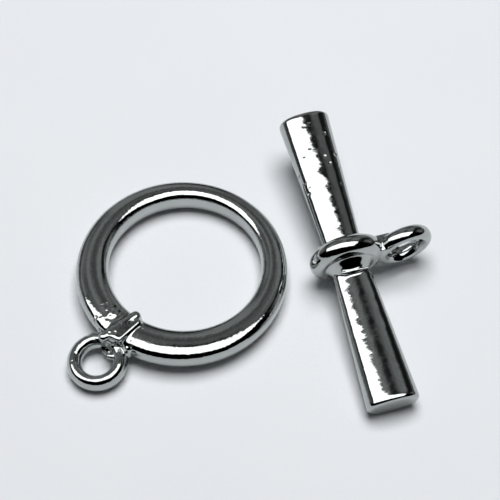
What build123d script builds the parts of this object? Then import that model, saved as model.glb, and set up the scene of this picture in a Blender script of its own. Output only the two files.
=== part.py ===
import os
from math import asin, atan, cos, degrees, hypot, radians, sin, sqrt

from build123d import *

os.makedirs("parts", exist_ok=True)

# Toggle clasp of two loose castings, lying as they rest on a table. Millimetres, +Z up.
# The origin is at table height, under the middle of the two.

# Ring casting
ring_outer = 20.0          # outside diameter of the ring
ring_hole = 14.7           # clear diameter of the ring
ring_height = 2.95         # height of the oval ring section
hole_shift = 0.58          # the hole sits this far out of the middle, so one side is stoutest
stout_turn = 15.0          # degrees from the eye to that stoutest side
ring_steps = 6             # sections in each half of the ring

wrap_width = 2.1           # width of the wrap that crosses the ring at the eye
wrap_proud = 0.5           # how far the wrap stands proud of the ring section
wrap_round = 0.6          # rounding of the wrap's edges
wrap_turn = -6.0           # degrees that the wrap is turned out of the eye's direction

ring_eye_hole = 2.9        # clear diameter of the ring's eye
ring_eye_wire = 1.37       # thickness of the eye's wall
ring_eye_height = 1.95     # height of the eye's wall
ring_eye_clear = 0.05      # how far the eye's hole stays clear of the wrap
ring_eye_drop = 0.78       # how far the eye hangs below the ring's middle plane
ring_eye_slope = 10.0      # degrees that the eye slopes down, away from the ring

# Bar casting
bar_length = 30.3          # end to end
bar_end_width = 5.0        # flared width at each end
bar_end_height = 3.4       # thickness at each end
bar_waist_width = 3.4      # width at the middle
bar_waist_height = 2.6     # thickness at the middle
bar_corner = 1.2           # corner radius of the bar's section
bar_end_round = 0.4        # rounding round the end faces

collar_outer = 7.2         # outside diameter of the loop wrapped round the bar
collar_wire = 2.0          # thickness of that loop
core_width = 1.2           # width of the plain disc that fills the loop
collar_seam = -135.0       # degrees from the eye to the seam of the loop's surface

bar_eye_hole = 3.25        # clear diameter of the bar's eye
bar_eye_wire = 1.2         # thickness of the eye's wall
bar_eye_width = 1.5        # width of the eye along the bar
bar_eye_clear = 0.35       # how far the eye's hole stays clear of the collar
bar_eye_turn = 6.0         # degrees that the eye is twisted out of the collar's plane
web_width = 1.3            # thickness of the web between collar and eye
web_height = 3.6           # height of that web
web_bite = 0.3             # how far the web reaches into the wall of the eye

# How the two lie, seen from above
ring_turn = 231.0          # degrees from +X to the ring's eye
bar_turn = -75.0           # degrees from +X to the bar's near end
loose_gap = 1.9            # clear space between ring and bar, along X
bar_ahead = 0.5            # how far the bar's middle lies beyond the ring's, along Y

quarter = 90               # degrees in a quarter turn
half_turn = 180            # degrees in half a turn

# The ring rests on its far side and on the underside of the wrap, which lifts the eye's side
ring_radius = ring_outer / 2
hole_radius = ring_hole / 2
stout_width = ring_radius - hole_radius + hole_shift
stout_middle = ring_radius - stout_width / 2
slim_middle = (ring_radius + hole_radius + hole_shift) / 2
ring_tilt = asin(wrap_proud / (stout_middle + slim_middle))
ring_level = ring_height / 2 + slim_middle * sin(ring_tilt)

# The bar rests on the collar and on the rounded lower edge of its near end
collar_middle = (collar_outer - collar_wire) / 2
end_reach = bar_length / 2 - bar_end_round
end_depth = collar_middle - bar_end_height / 2 + bar_end_round
edge_lift = collar_wire / 2 - bar_end_round
bar_tilt = atan(end_depth / end_reach) + asin(edge_lift / hypot(end_depth, end_reach))
bar_level = collar_middle * cos(bar_tilt) + collar_wire / 2

# Reach of each eye from the middle of its casting
ring_eye_middle = (ring_eye_hole + ring_eye_wire) / 2
ring_eye_reach = ring_radius + wrap_proud + ring_eye_clear + ring_eye_hole / 2
bar_eye_middle = (bar_eye_hole + bar_eye_wire) / 2
bar_eye_reach = collar_outer / 2 + bar_eye_clear + bar_eye_hole / 2

# The two lie side by side, centred on the origin
ring_eye_left = -ring_eye_reach * cos(radians(ring_turn)) + ring_eye_middle + ring_eye_wire / 2
left_reach = max(ring_radius, ring_eye_left)
eye_turn = bar_turn + quarter + bar_eye_turn
bar_eye_right = bar_eye_reach * cos(radians(bar_turn + quarter)) + bar_eye_middle * cos(radians(eye_turn))
right_reach = bar_eye_right + bar_eye_wire / 2
middle_gap = ring_radius + loose_gap + collar_outer / 2
ring_x = (left_reach - right_reach - middle_gap) / 2
bar_x = ring_x + middle_gap


def turned(plane, x_angle=0, y_angle=0, z_angle=0):
    """Plane turned in degrees about its own axes."""
    return plane.moved(Location((0, 0, 0), (x_angle, y_angle, z_angle)))


def shifted(plane, x, z=0):
    """Plane moved along its own x and z."""
    return plane.moved(Location((x, 0, z)))


def across(plane):
    """Plane with the same x axis whose y axis is the given plane's normal."""
    return turned(plane, x_angle=quarter)


# In the ring's plane, x points to the eye; in the bar's, x points to its eye and z to the near end
level_ring = turned(Plane(origin=(ring_x, -bar_ahead, ring_level)), z_angle=ring_turn)
ring_plane = turned(level_ring, y_angle=-degrees(ring_tilt))
stout_plane = turned(ring_plane, z_angle=stout_turn)
wrap_plane = turned(shifted(ring_plane, stout_middle), z_angle=wrap_turn)
ring_eye_plane = turned(shifted(ring_plane, ring_eye_reach, -ring_eye_drop), y_angle=ring_eye_slope)

level_bar = turned(Plane(origin=(bar_x, 0, bar_level)), z_angle=bar_turn + quarter)
bar_plane = turned(level_bar, x_angle=quarter + degrees(bar_tilt))
bar_eye_plane = turned(shifted(bar_plane, bar_eye_reach), y_angle=bar_eye_turn)


def eye_section(hole, wire, height):
    """Section of an eye: round at its top and bottom, straight at its sides."""
    with Locations(((hole + wire) / 2, 0)):
        SlotOverall(height, wire, rotation=quarter)


def ring_inner(turn):
    """Distance from the ring's middle to the hole's wall, turn degrees from the stoutest side."""
    along = hole_shift * cos(radians(turn))
    aside = hole_shift * sin(radians(turn))
    return sqrt(hole_radius**2 - aside**2) - along


# Wrap across the ring and the eye beside it, which are cast in one with it
with BuildPart() as wrap:
    with BuildSketch(across(wrap_plane)):
        Ellipse(stout_width / 2 + wrap_proud, ring_height / 2 + wrap_proud)
    extrude(amount=wrap_width / 2, both=True)
    fillet(wrap.edges().filter_by(GeomType.ELLIPSE), wrap_round)

with BuildPart() as ring_eye:
    with BuildSketch(across(ring_eye_plane)):
        eye_section(ring_eye_hole, ring_eye_wire, ring_eye_height)
    revolve(axis=Axis(ring_eye_plane.origin, ring_eye_plane.z_dir))

with BuildPart() as toggle_ring:
    # Half of the ring, from its stoutest to its slimmest side, then its mirror image
    for step in range(ring_steps + 1):
        turn = half_turn * step / ring_steps
        inner = ring_inner(turn)
        with BuildSketch(across(turned(stout_plane, z_angle=turn))):
            with Locations(((ring_radius + inner) / 2, 0)):
                Ellipse((ring_radius - inner) / 2, ring_height / 2)
    loft()
    mirror(about=across(stout_plane))
    add(wrap.part)
    add(ring_eye.part)

toggle_ring.part.label = "toggle_ring"
export_step(toggle_ring.part, "parts/toggle_ring.step")


with BuildPart() as toggle_bar:
    # Flared bar: wide at both ends, slim at the middle
    for share, width, height in (
        (-0.5, bar_end_width, bar_end_height),
        (0, bar_waist_width, bar_waist_height),
        (0.5, bar_end_width, bar_end_height),
    ):
        with BuildSketch(bar_plane.offset(share * bar_length)):
            RectangleRounded(width, height, bar_corner)
    loft(ruled=True)
    ends = toggle_bar.faces().sort_by(Axis(bar_plane.origin, bar_plane.z_dir))
    fillet(ends[0].edges() + ends[-1].edges(), bar_end_round)

    # Collar: a loop round the waist, filled by a thinner disc
    with BuildSketch(across(turned(bar_plane, z_angle=collar_seam))):
        with Locations((collar_middle, 0)):
            Circle(collar_wire / 2)
        with Locations((collar_middle / 2, 0)):
            Rectangle(collar_middle, core_width)
    revolve(axis=Axis(bar_plane.origin, bar_plane.z_dir))

    # Web beside the collar, opened for the eye, and the eye itself
    with BuildSketch(bar_plane):
        Circle(web_height / 2)
        with Locations((bar_eye_reach, 0)):
            Circle(web_height / 2)
        make_hull()
    extrude(amount=web_width / 2, both=True)
    with Locations(bar_eye_plane):
        Hole(bar_eye_hole / 2 + web_bite)
    with BuildSketch(across(bar_eye_plane)):
        eye_section(bar_eye_hole, bar_eye_wire, bar_eye_width)
    revolve(axis=Axis(bar_eye_plane.origin, bar_eye_plane.z_dir))

toggle_bar.part.label = "toggle_bar"
export_step(toggle_bar.part, "parts/toggle_bar.step")

for casting in (toggle_ring.part, toggle_bar.part):
    box = casting.bounding_box()
    print(casting.label, "volume", round(casting.volume, 2), "valid", casting.is_valid, box.min, box.max)
for name, plane in (("ring eye", ring_eye_plane), ("bar eye", bar_eye_plane), ("ring", ring_plane)):
    print(name, plane.origin, plane.z_dir)
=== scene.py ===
from math import cos, degrees, pi, radians, sin

import bpy
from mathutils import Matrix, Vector


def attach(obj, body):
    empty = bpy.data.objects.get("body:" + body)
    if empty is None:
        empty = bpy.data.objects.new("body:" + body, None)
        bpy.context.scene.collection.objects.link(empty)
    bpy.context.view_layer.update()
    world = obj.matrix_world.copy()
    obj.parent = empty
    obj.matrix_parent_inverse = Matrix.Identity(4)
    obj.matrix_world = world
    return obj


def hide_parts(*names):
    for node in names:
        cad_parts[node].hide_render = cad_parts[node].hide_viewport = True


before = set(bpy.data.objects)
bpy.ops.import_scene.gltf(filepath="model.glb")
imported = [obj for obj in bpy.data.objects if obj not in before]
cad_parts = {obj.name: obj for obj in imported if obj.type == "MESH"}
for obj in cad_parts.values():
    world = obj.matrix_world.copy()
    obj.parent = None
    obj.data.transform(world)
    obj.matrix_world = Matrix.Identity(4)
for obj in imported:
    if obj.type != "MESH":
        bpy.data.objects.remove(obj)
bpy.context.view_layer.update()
bpy.ops.object.select_all(action="DESELECT")
scene = bpy.context.scene
scene.view_settings.view_transform = "Standard"

mm = 0.001  # both castings are modelled in millimetres and brought to size at the end
slack = 0.001  # millimetres within which two places count as the same

# Camera, at the photo's angle
shot = {
    "lookAt": (-0.16, 3.03),  # millimetres, on the table
    "distance": 150,
    "elevation": 58.1,
    "lens": 111.5,
    "clipStart": 0.01,
}
tilt = radians(shot["elevation"])
cameraData = bpy.data.cameras.new("camera")
cameraData.lens = shot["lens"]
cameraData.clip_start = shot["clipStart"]
camera = bpy.data.objects.new("camera", cameraData)
scene.collection.objects.link(camera)
camera.location = (
    shot["lookAt"][0] * mm,
    (shot["lookAt"][1] - shot["distance"] * cos(tilt)) * mm,
    shot["distance"] * sin(tilt) * mm,
)
camera.rotation_euler = (pi / 2 - tilt, 0, 0)
scene.camera = camera
print("camera set")


# Helpers for shapes

def onlySelect(obj):
    bpy.ops.object.select_all(action="DESELECT")
    obj.select_set(True)
    bpy.context.view_layer.objects.active = obj


def put(obj, at=(0, 0, 0), turn=(0, 0, 0), size=(1, 1, 1)):
    # Scales, turns by degrees and moves, and leaves the object selected alone
    obj.location = at
    obj.rotation_euler = [radians(angle) for angle in turn]
    obj.scale = size
    onlySelect(obj)
    bpy.ops.object.transform_apply(location=True, rotation=True, scale=True)
    return obj


def addModifier(obj, kind, **settings):
    modifier = obj.modifiers.new(kind.lower(), kind)
    for name, value in settings.items():
        setattr(modifier, name, value)
    onlySelect(obj)
    bpy.ops.object.modifier_apply(modifier=modifier.name)


def editWhere(obj, chosen):
    # Opens edit mode with only the chosen places selected
    bpy.ops.object.mode_set(mode="EDIT")
    bpy.ops.mesh.select_all(action="DESELECT")
    bpy.ops.object.mode_set(mode="OBJECT")
    for vertex in obj.data.vertices:
        vertex.select = chosen(vertex.co)
    bpy.ops.object.mode_set(mode="EDIT")


def addShape(operator, **settings):
    bpy.ops.object.select_all(action="DESELECT")
    operator(**settings)
    return bpy.context.object


def addTorus(reach, tube, around=128, section=40):
    return addShape(
        bpy.ops.mesh.primitive_torus_add,
        major_radius=reach,
        minor_radius=tube,
        major_segments=around,
        minor_segments=section,
    )


def addEye(eye):
    loop = addTorus((eye["hole"] + eye["wire"]) / 2, eye["wire"] / 2)
    return put(loop, eye["at"], eye["turn"], (1, 1, eye["height"] / eye["wire"]))


def addBall(size, at, turn=(0, 0, 0)):
    ball = addShape(bpy.ops.mesh.primitive_ico_sphere_add, subdivisions=5, radius=1)
    return put(ball, at, turn, size)


def addRod(start, end, tube):
    # A round-ended rod: one half of a ball is drawn out along its length
    reach = Vector(end) - Vector(start)
    rod = addShape(bpy.ops.mesh.primitive_uv_sphere_add, segments=32, ring_count=24, radius=tube)
    editWhere(rod, lambda place: place.z > slack)
    bpy.ops.transform.translate(value=(0, 0, reach.length))
    bpy.ops.object.mode_set(mode="OBJECT")
    slant = reach.to_track_quat("Z", "Y").to_euler()
    return put(rod, start, [degrees(angle) for angle in slant])


def addBlock(size, at, turn=(0, 0, 0)):
    return put(addShape(bpy.ops.mesh.primitive_cube_add, size=1), at, turn, size)


def addProfile(fullness):
    # An outline to be spun or drawn out: round at a fullness of 0.552, squarer above that
    outline = addShape(bpy.ops.curve.primitive_bezier_circle_add, radius=1)
    outline.data.resolution_u = 24
    for point in outline.data.splines[0].bezier_points:
        point.handle_left_type = point.handle_right_type = "FREE"
        for side in ("handle_left", "handle_right"):
            arm = getattr(point, side) - point.co
            setattr(point, side, point.co + arm.normalized() * fullness)
    bpy.ops.object.convert(target="MESH")
    return bpy.context.object


def fuse(pieces, name, casting):
    # Melts overlapping closed shapes into one cast skin with small fillets, and lays it in place
    bpy.ops.object.select_all(action="DESELECT")
    for piece in pieces:
        piece.select_set(True)
    bpy.context.view_layer.objects.active = pieces[0]
    bpy.ops.object.join()
    cast = bpy.context.object
    cast.name = name
    addModifier(cast, "REMESH", mode="VOXEL", voxel_size=casting["voxel"])
    addModifier(cast, "SMOOTH", factor=0.5, iterations=casting["smoothing"])
    put(cast, [value * mm for value in casting["at"]], casting["turn"], (mm, mm, mm))
    bpy.ops.object.shade_smooth()
    print(name, "has", len(cast.data.polygons), "faces")
    return cast


# Ring casting: x points to its eye, z is up
ring = {
    "outer": 20.0,
    "hole": 14.5,
    "above": 1.15,  # height of the section above its widest place
    "below": 1.6,
    "widestAt": 0.23,
    "fullness": 0.69,
    "shift": 0.6,  # the hole's wall is moved this far, so that one side is stoutest
    "stoutTurn": 13,  # degrees from the eye to that side
    "around": 256,
    "voxel": 0.09,
    "smoothing": 6,
    "at": (-6.5952, -0.5, 1.657),
    "turn": (0, -1.651, 231),
}
middle = (ring["outer"] + ring["hole"]) / 4
halfWidth = (ring["outer"] - ring["hole"]) / 4
body = put(addProfile(ring["fullness"]), turn=(90, 0, 0))
editWhere(body, lambda place: place.z > slack)
bpy.ops.transform.resize(value=(1, 1, ring["above"] / ring["below"]), center_override=(0, 0, 0))
bpy.ops.object.mode_set(mode="OBJECT")
put(body, at=(middle, 0, ring["widestAt"]), size=(halfWidth, 1, ring["below"]))
bpy.ops.object.mode_set(mode="EDIT")
bpy.ops.mesh.select_all(action="SELECT")
bpy.ops.mesh.spin(steps=ring["around"], angle=2 * pi, center=(0, 0, 0), axis=(0, 0, 1))
bpy.ops.mesh.select_all(action="SELECT")
bpy.ops.mesh.remove_doubles(threshold=slack)
bpy.ops.mesh.normals_make_consistent(inside=False)
bpy.ops.object.mode_set(mode="OBJECT")
holeSide = body.vertex_groups.new(name="hole side")
for vertex in body.data.vertices:
    inward = 0.5 - (vertex.co.xy.length - middle) / halfWidth / 2  # 1 at the hole, 0 outside
    holeSide.add([vertex.index], min(max(inward, 0), 1), "REPLACE")
addModifier(
    body, "DISPLACE", direction="X", strength=-ring["shift"], mid_level=0, vertex_group="hole side"
)
put(body, turn=(0, 0, ring["stoutTurn"]))

# The wrap goes round the ring where the eye sits: a rod with a sloping face, and a lower one
wrap = {
    "reach": 8.6,
    "across": 1.35,
    "high": 1.2,
    "tube": 0.6,
    "yaw": -13,
    "rod": 0.5,
    "rodInner": (6.98, 0.36, 1.29),
    "rodOuter": (10.5, -0.46, 1.25),
    "rodFoot": (6.75, 0.4, -0.6),
    "faceSize": (3.0, 1.45, 1.5),
    "faceAt": (8.5, 0.46, 0.95),
    "faceTurn": (-8, 0, -4),
    "faceDrawn": (0.5, 0.05, 0.0),  # how far its outer edge under the rod is drawn out
    "faceEdge": 0.3,
    "lowRod": 0.42,
    "lowInner": (7.55, 1.3, 0.98),
    "lowOuter": (9.6, 1.75, 0.5),
    "lowFoot": (9.7, 1.65, -0.6),
    "beadSize": (0.95, 0.8, 0.5),
    "beadAt": (8.0, -1.5, 1.02),
    "beadTurn": (0, 0, 20),
}
strand = addTorus(1, wrap["tube"] / wrap["across"], around=96, section=32)
put(strand, turn=(90, 0, 0))
put(
    strand,
    at=(wrap["reach"], 0, 0),
    turn=(0, 0, wrap["yaw"]),
    size=(wrap["across"], wrap["across"], wrap["high"]),
)
topRod = addRod(wrap["rodInner"], wrap["rodOuter"], wrap["rod"])
innerRod = addRod(wrap["rodInner"], wrap["rodFoot"], wrap["rod"])
face = addBlock(wrap["faceSize"], wrap["faceAt"], wrap["faceTurn"])
editWhere(face, lambda place: place.x > wrap["faceAt"][0] and place.y < wrap["faceAt"][1])
bpy.ops.transform.translate(value=wrap["faceDrawn"])
bpy.ops.object.mode_set(mode="OBJECT")
addModifier(face, "BEVEL", width=wrap["faceEdge"], segments=4)
lowRod = addRod(wrap["lowInner"], wrap["lowOuter"], wrap["lowRod"])
lowEnd = addRod(wrap["lowOuter"], wrap["lowFoot"], wrap["lowRod"])
bead = addBall(wrap["beadSize"], wrap["beadAt"], wrap["beadTurn"])

ringEye = {
    "hole": 2.9,
    "wire": 1.37,
    "height": 1.95,
    "at": (12.0, 0, -0.78),
    "turn": (0, 7, 0),
    "neckSize": (0.9, 1.2, 0.7),
    "neckAt": (10.1, 0.0, -0.75),
    "lumpSize": (0.3, 0.6, 0.3),
    "lumpAt": (10.95, 0.8, -0.25),
    "lumpTurn": (0, 0, 30),
}
loop = addEye(ringEye)
neck = addBall(ringEye["neckSize"], ringEye["neckAt"])
lump = addBall(ringEye["lumpSize"], ringEye["lumpAt"], ringEye["lumpTurn"])

ringPieces = [body, strand, topRod, innerRod, face, lowRod, lowEnd, bead, loop, neck, lump]
ringCast = fuse(ringPieces, "ring_casting", ring)


# Bar casting: x points to its eye, y is up, z points to the near end
bar = {
    "length": 30.3,
    "endWidth": 5.0,
    "farHeight": 3.6,
    "nearHeight": 3.4,
    "waistWidth": 3.4,
    "waistHeight": 1.7,
    "fullness": 0.64,
    "flare": 1.35,  # 1 is a straight flare in height, and more is a hollow one
    "steps": 20,
    "roll": 5,
    "edge": 0.4,
    "voxel": 0.09,
    "smoothing": 6,
    "at": (8.905, 0, 3.5786),
    "turn": (97.359, 0, 15),
}
shaft = addProfile(bar["fullness"])
put(shaft, at=(0, 0, -bar["length"] / 2), size=(bar["endWidth"] / 2, bar["farHeight"] / 2, 1))
bpy.ops.object.mode_set(mode="EDIT")
bpy.ops.mesh.select_all(action="SELECT")
bpy.ops.mesh.edge_face_add()
width, height = bar["endWidth"], bar["farHeight"]
for step in range(1, bar["steps"] + 1):
    along = 2 * step / bar["steps"] - 1  # -1 at the far end, 0 at the waist, 1 at the near end
    endHeight = bar["farHeight"] if along < 0 else bar["nearHeight"]
    nextWidth = bar["waistWidth"] + (bar["endWidth"] - bar["waistWidth"]) * abs(along)
    nextHeight = bar["waistHeight"] + (endHeight - bar["waistHeight"]) * abs(along) ** bar["flare"]
    bpy.ops.mesh.extrude_region_move(
        TRANSFORM_OT_translate={"value": (0, 0, bar["length"] / bar["steps"])}
    )
    bpy.ops.transform.resize(
        value=(nextWidth / width, nextHeight / height, 1), center_override=(0, 0, 0)
    )
    width, height = nextWidth, nextHeight
bpy.ops.mesh.select_all(action="SELECT")
bpy.ops.mesh.normals_make_consistent(inside=False)
bpy.ops.object.mode_set(mode="OBJECT")
ends = shaft.vertex_groups.new(name="ends")
for vertex in shaft.data.vertices:
    if abs(vertex.co.z) > bar["length"] / 2 - slack:
        ends.add([vertex.index], 1, "REPLACE")
addModifier(
    shaft, "BEVEL", width=bar["edge"], segments=6, limit_method="VGROUP", vertex_group="ends"
)
put(shaft, turn=(0, 0, bar["roll"]))

# The collar is a loop round the waist, with a cone and a thin lip where the near half comes out
collar = {
    "outer": 7.2,
    "wire": 2.0,
    "core": 1.85,
    "hubAt": 1.38,
    "hubLength": 1.45,
    "hubFoot": 2.6,
    "hubTip": 1.2,
    "lip": 0.13,
    "lipLeft": (-1.3, 1.22, 1.95),
    "lipRight": (1.35, 1.38, 2.05),
    "around": 96,
}
collarMiddle = (collar["outer"] - collar["wire"]) / 2
band = addTorus(collarMiddle, collar["wire"] / 2)
core = addShape(
    bpy.ops.mesh.primitive_cylinder_add,
    vertices=collar["around"],
    radius=collarMiddle,
    depth=collar["core"],
)
hub = addShape(
    bpy.ops.mesh.primitive_cone_add,
    vertices=collar["around"],
    radius1=collar["hubFoot"],
    radius2=collar["hubTip"],
    depth=collar["hubLength"],
)
put(hub, at=(0, 0, collar["hubAt"]))
lip = addRod(collar["lipLeft"], collar["lipRight"], collar["lip"])

barEye = {
    "hole": 3.25,
    "wire": 1.2,
    "height": 1.5,
    "at": (5.575, 0, 0),
    "turn": (0, 6, 0),
    "web": 1.7,
    "webHeight": 3.6,
    "webDrop": 0.2,
    "around": 96,
}
barLoop = addEye(barEye)
eyeReach = barEye["at"][0]
web = addBlock(
    (eyeReach, barEye["webHeight"], barEye["web"]), (eyeReach / 2, -barEye["webDrop"], 0)
)
drill = addShape(
    bpy.ops.mesh.primitive_cylinder_add,
    vertices=barEye["around"],
    radius=barEye["hole"] / 2 + barEye["wire"] / 4,
    depth=barEye["hole"],
)
put(drill, barEye["at"], barEye["turn"])
addModifier(web, "BOOLEAN", operation="DIFFERENCE", object=drill)
bpy.data.objects.remove(drill)

barPieces = [shaft, band, core, hub, lip, barLoop, web]
barCast = fuse(barPieces, "bar_casting", bar)


# Helpers for materials and light

def feed(node, inputs):
    # Each input takes a value or another node's socket
    for name, value in inputs.items():
        if isinstance(value, bpy.types.NodeSocket):
            node.id_data.links.new(value, node.inputs[name])
        else:
            node.inputs[name].default_value = value


def addNode(tree, kind, inputs=None, **settings):
    node = tree.nodes.new(kind)
    for name, value in settings.items():
        setattr(node, name, value)
    feed(node, inputs or {})
    return node


def mixColours(tree, share, first, second):
    # Inputs 6 and 7 and output 2 are the mix node's colour sockets
    mix = addNode(tree, "ShaderNodeMix", data_type="RGBA")
    feed(mix, {0: share, 6: first, 7: second})
    return mix.outputs[2]


def addMaterial(name):
    material = bpy.data.materials.new(name)
    material.use_nodes = True
    return material, material.node_tree, material.node_tree.nodes["Principled BSDF"]


# Plating over a cast skin: slow waves, fine grain and a few pits, whose colour is darkened as
# painted shade. Sizes and depths are in millimetres, and the pits' centre and reach are in metres
platingLook = {
    "Bright Tint": (0.455, 0.475, 0.468, 1),
    # The dull tint serves both the waves' random dull tone and the painted shade in the pits
    "Dull And Pit Shade Tint": (0.34, 0.36, 0.355, 1),
    "Polish": 0.05,
}
ringLook = {
    "Wave Size": 2.2,
    "Wave Depth": 0.03,
    "Grain Size": 0.28,
    "Grain Depth": 0.012,
    "Pit Size": 0.5,
    "Pit Depth": 0.04,
    "Pit Share": 0.5,
    "Pit Centre": (-0.0135, -0.0065, 0.003),
    "Pit Reach": 0.004,
}
barLook = {
    "Wave Size": 1.6,
    "Wave Depth": 0.03,
    "Grain Size": 0.4,
    "Grain Depth": 0.006,
    "Pit Size": 0.5,
    "Pit Depth": 0.035,
    "Pit Share": 0.25,
    "Pit Centre": (0.0055, 0.0078, 0.0065),
    "Pit Reach": 0.0055,
}
skinLook = {
    "waveDetail": 1,
    "grainDetail": 2,
    "pitEdge": 0.5,  # distance in a cell at which a pit starts, and at which it is deepest
    "pitFloor": 0.15,
    "waveDulls": 0.7,
    # How far the pits' colour is darkened towards the dull tint: painted shade in the pits
    "pitPaintedShade": 0.5,
    "grainRoughens": 0.04,
    "pitRoughens": 0.2,
}


def makeCastSkin():
    skin = bpy.data.node_groups.new("castSkin", "ShaderNodeTree")
    for way, kind, names in (
        ("INPUT", "NodeSocketColor", ("Bright Tint", "Dull And Pit Shade Tint")),
        ("INPUT", "NodeSocketFloat", ("Wave Size", "Wave Depth", "Grain Size", "Grain Depth")),
        ("INPUT", "NodeSocketFloat", ("Pit Size", "Pit Depth", "Pit Share", "Pit Reach")),
        ("INPUT", "NodeSocketVector", ("Pit Centre",)),
        ("INPUT", "NodeSocketFloat", ("Polish",)),
        ("OUTPUT", "NodeSocketColor", ("Colour",)),
        ("OUTPUT", "NodeSocketFloat", ("Roughness", "Height")),
    ):
        for name in names:
            skin.interface.new_socket(name, in_out=way, socket_type=kind)
    given = addNode(skin, "NodeGroupInput").outputs
    place = addNode(skin, "ShaderNodeTexCoord").outputs["Object"]

    def math(operation, first, second, clamp=False):
        settings = {"operation": operation, "use_clamp": clamp}
        return addNode(skin, "ShaderNodeMath", {0: first, 1: second}, **settings).outputs[0]

    def pattern(kind, size, **inputs):
        scale = math("DIVIDE", 1 / mm, given[size])
        return addNode(skin, kind, {"Vector": place, "Scale": scale, **inputs}).outputs

    waves = pattern("ShaderNodeTexNoise", "Wave Size", Detail=skinLook["waveDetail"])["Fac"]
    grain = pattern("ShaderNodeTexNoise", "Grain Size", Detail=skinLook["grainDetail"])["Fac"]
    cells = pattern("ShaderNodeTexVoronoi", "Pit Size")
    hollow = addNode(
        skin,
        "ShaderNodeMapRange",
        {
            "Value": cells["Distance"],
            "From Min": skinLook["pitEdge"],
            "From Max": skinLook["pitFloor"],
        },
        interpolation_type="SMOOTHSTEP",
    ).outputs[0]

    # Only some cells are pits, and fewer of them away from the centre
    chance = addNode(skin, "ShaderNodeSeparateColor", {0: cells["Color"]}).outputs[0]
    away = addNode(
        skin, "ShaderNodeVectorMath", {0: place, 1: given["Pit Centre"]}, operation="DISTANCE"
    ).outputs["Value"]
    nearness = math("SUBTRACT", 1, math("DIVIDE", away, given["Pit Reach"]), clamp=True)
    share = math("MULTIPLY", given["Pit Share"], nearness)
    pits = math("MULTIPLY", hollow, math("LESS_THAN", chance, share))

    waveDulls = math("MULTIPLY", waves, skinLook["waveDulls"])
    # The waves dull the tint at random; the pits darken it as painted shade in the pits
    pitPaintedShade = math("MULTIPLY", pits, skinLook["pitPaintedShade"])
    dullAndPitShade = math("ADD", waveDulls, pitPaintedShade, clamp=True)
    grainRoughens = math("MULTIPLY", grain, skinLook["grainRoughens"])
    pitRoughens = math("MULTIPLY", pits, skinLook["pitRoughens"])
    raised = math("MULTIPLY", waves, given["Wave Depth"])
    grainy = math("MULTIPLY", grain, given["Grain Depth"])
    sunk = math("MULTIPLY", pits, given["Pit Depth"])
    addNode(
        skin,
        "NodeGroupOutput",
        {
            "Colour": mixColours(skin, dullAndPitShade, given["Bright Tint"], given["Dull And Pit Shade Tint"]),
            "Roughness": math("ADD", given["Polish"], math("ADD", grainRoughens, pitRoughens)),
            "Height": math("SUBTRACT", math("ADD", raised, grainy), sunk),
        },
    )
    return skin


castSkin = makeCastSkin()


def plating(name, look):
    material, tree, shader = addMaterial(name)
    skin = addNode(tree, "ShaderNodeGroup", {**platingLook, **look}, node_tree=castSkin).outputs
    bump = addNode(tree, "ShaderNodeBump", {"Distance": mm, "Height": skin["Height"]})
    feed(shader, {
        "Metallic": 1,
        "Base Color": skin["Colour"],
        "Roughness": skin["Roughness"],
        "Normal": bump.outputs["Normal"],
    })
    return material


for cast, node, slot, finish in (
    (ringCast, "toggle_ring", "dark_plating_ring", plating("ring plating", ringLook)),
    (barCast, "toggle_bar", "dark_plating_bar", plating("bar plating", barLook)),
):
    cast.data.materials.clear()
    cast.data.materials.append(finish)
    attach(cast, "root")
    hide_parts(node)
print("plating set")

# Paper, faintly mottled and finely fibrous, all in metres
sheet = {
    "size": 3,
    "roughness": 0.9,
    "darker": (0.78, 0.80, 0.835, 1),
    "lighter": (0.82, 0.84, 0.865, 1),
    "mottleSize": 0.02,
    "mottleDetail": 1,
    "fibreSize": 0.0004,
    "fibreDetail": 3,
    "fibreDepth": 0.00002,
}
paper = addShape(bpy.ops.mesh.primitive_plane_add, size=sheet["size"])
paper.name = "paper"
paperMaterial, paperTree, paperShader = addMaterial("paper")
paperPlace = addNode(paperTree, "ShaderNodeTexCoord").outputs["Object"]
mottle, fibres = [
    addNode(
        paperTree,
        "ShaderNodeTexNoise",
        {"Vector": paperPlace, "Scale": 1 / sheet[kind + "Size"], "Detail": sheet[kind + "Detail"]},
    ).outputs["Fac"]
    for kind in ("mottle", "fibre")
]
relief = addNode(paperTree, "ShaderNodeBump", {"Distance": sheet["fibreDepth"], "Height": fibres})
feed(paperShader, {
    "Base Color": mixColours(paperTree, mottle, sheet["darker"], sheet["lighter"]),
    "Roughness": sheet["roughness"],
    "Specular IOR Level": 0,
    "Normal": relief.outputs["Normal"],
})
paper.data.materials.append(paperMaterial)
print("paper laid")

# Light: a dim, streaky room that only the plating mirrors, and a faint fill on the paper
studio = {
    "tint": (0.97, 0.99, 1, 1),
    "room": 0.3,
    "roomTowards": (0, 1, 0),
    "roomFade": (-0.1, 0.35),
    "fill": 0.05,
    "fillTowards": (0, 0.5, 0.87),
    "fillFade": (-0.3, 0.6),
    "streakScale": 2.2,
    "streakDetail": 1,
    "streakRange": (0.38, 0.62),
    "streakLeast": 0.05,
}
world = bpy.data.worlds.new("studio")
scene.world = world
world.use_nodes = True
sky = world.node_tree
direction = addNode(sky, "ShaderNodeTexCoord").outputs["Generated"]


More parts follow.
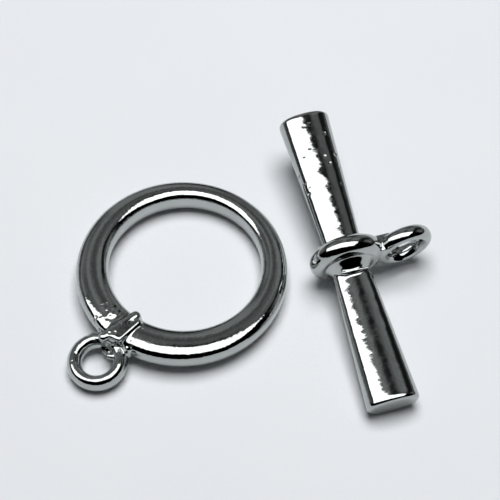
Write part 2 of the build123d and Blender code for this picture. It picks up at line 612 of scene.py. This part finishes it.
def spread(value, low, high, least, most, kind="LINEAR"):
    limits = {"From Min": low, "From Max": high, "To Min": least, "To Max": most}
    node = addNode(sky, "ShaderNodeMapRange", {"Value": value, **limits}, interpolation_type=kind)
    return node.outputs[0]


def sideLight(towards, fade, bright):
    # Bright towards one side of the room and dark away from it
    facing = addNode(
        sky, "ShaderNodeVectorMath", {0: direction, 1: towards}, operation="DOT_PRODUCT"
    )
    return spread(facing.outputs["Value"], *fade, 0, bright, "SMOOTHSTEP")


streaks = addNode(
    sky,
    "ShaderNodeTexNoise",
    {"Vector": direction, "Scale": studio["streakScale"], "Detail": studio["streakDetail"]},
)
contrast = spread(streaks.outputs["Fac"], *studio["streakRange"], studio["streakLeast"], 1)
roomSide = sideLight(studio["roomTowards"], studio["roomFade"], studio["room"])
room = addNode(sky, "ShaderNodeMath", {0: roomSide, 1: contrast}, operation="MULTIPLY")
fill = sideLight(studio["fillTowards"], studio["fillFade"], studio["fill"])
rays = addNode(sky, "ShaderNodeLightPath")
seen = addNode(sky, "ShaderNodeMix", data_type="FLOAT")
feed(seen, {0: rays.outputs["Is Glossy Ray"], 2: fill, 3: room.outputs[0]})
feed(sky.nodes["Background"], {"Color": studio["tint"], "Strength": seen.outputs[0]})

# One long softbox that only the plating mirrors, and a light that only the paper takes
softbox = {
    "at": (-0.225, -0.062, 0.4),
    "size": (1.05, 0.33),
    "turn": -6,
    "radiance": 3.0,
}
overhead = {
    "at": (0.02, 0.09, 0.5),
    "size": (0.32, 0.32),
    "turn": 0,
    "radiance": 8.7,
}


def addLight(name, box, mirrored):
    light = bpy.data.lights.new(name, "AREA")
    light.shape = "RECTANGLE"
    light.size, light.size_y = box["size"]
    light.energy = box["radiance"] * pi * light.size * light.size_y
    lamp = bpy.data.objects.new(name, light)
    scene.collection.objects.link(lamp)
    lamp.location = box["at"]
    lamp.rotation_euler = (0, 0, radians(box["turn"]))
    lamp.visible_camera = False
    lamp.visible_glossy = mirrored
    lamp.visible_diffuse = not mirrored


addLight("mirrored softbox", softbox, mirrored=True)
addLight("overhead light", overhead, mirrored=False)
print("light set")
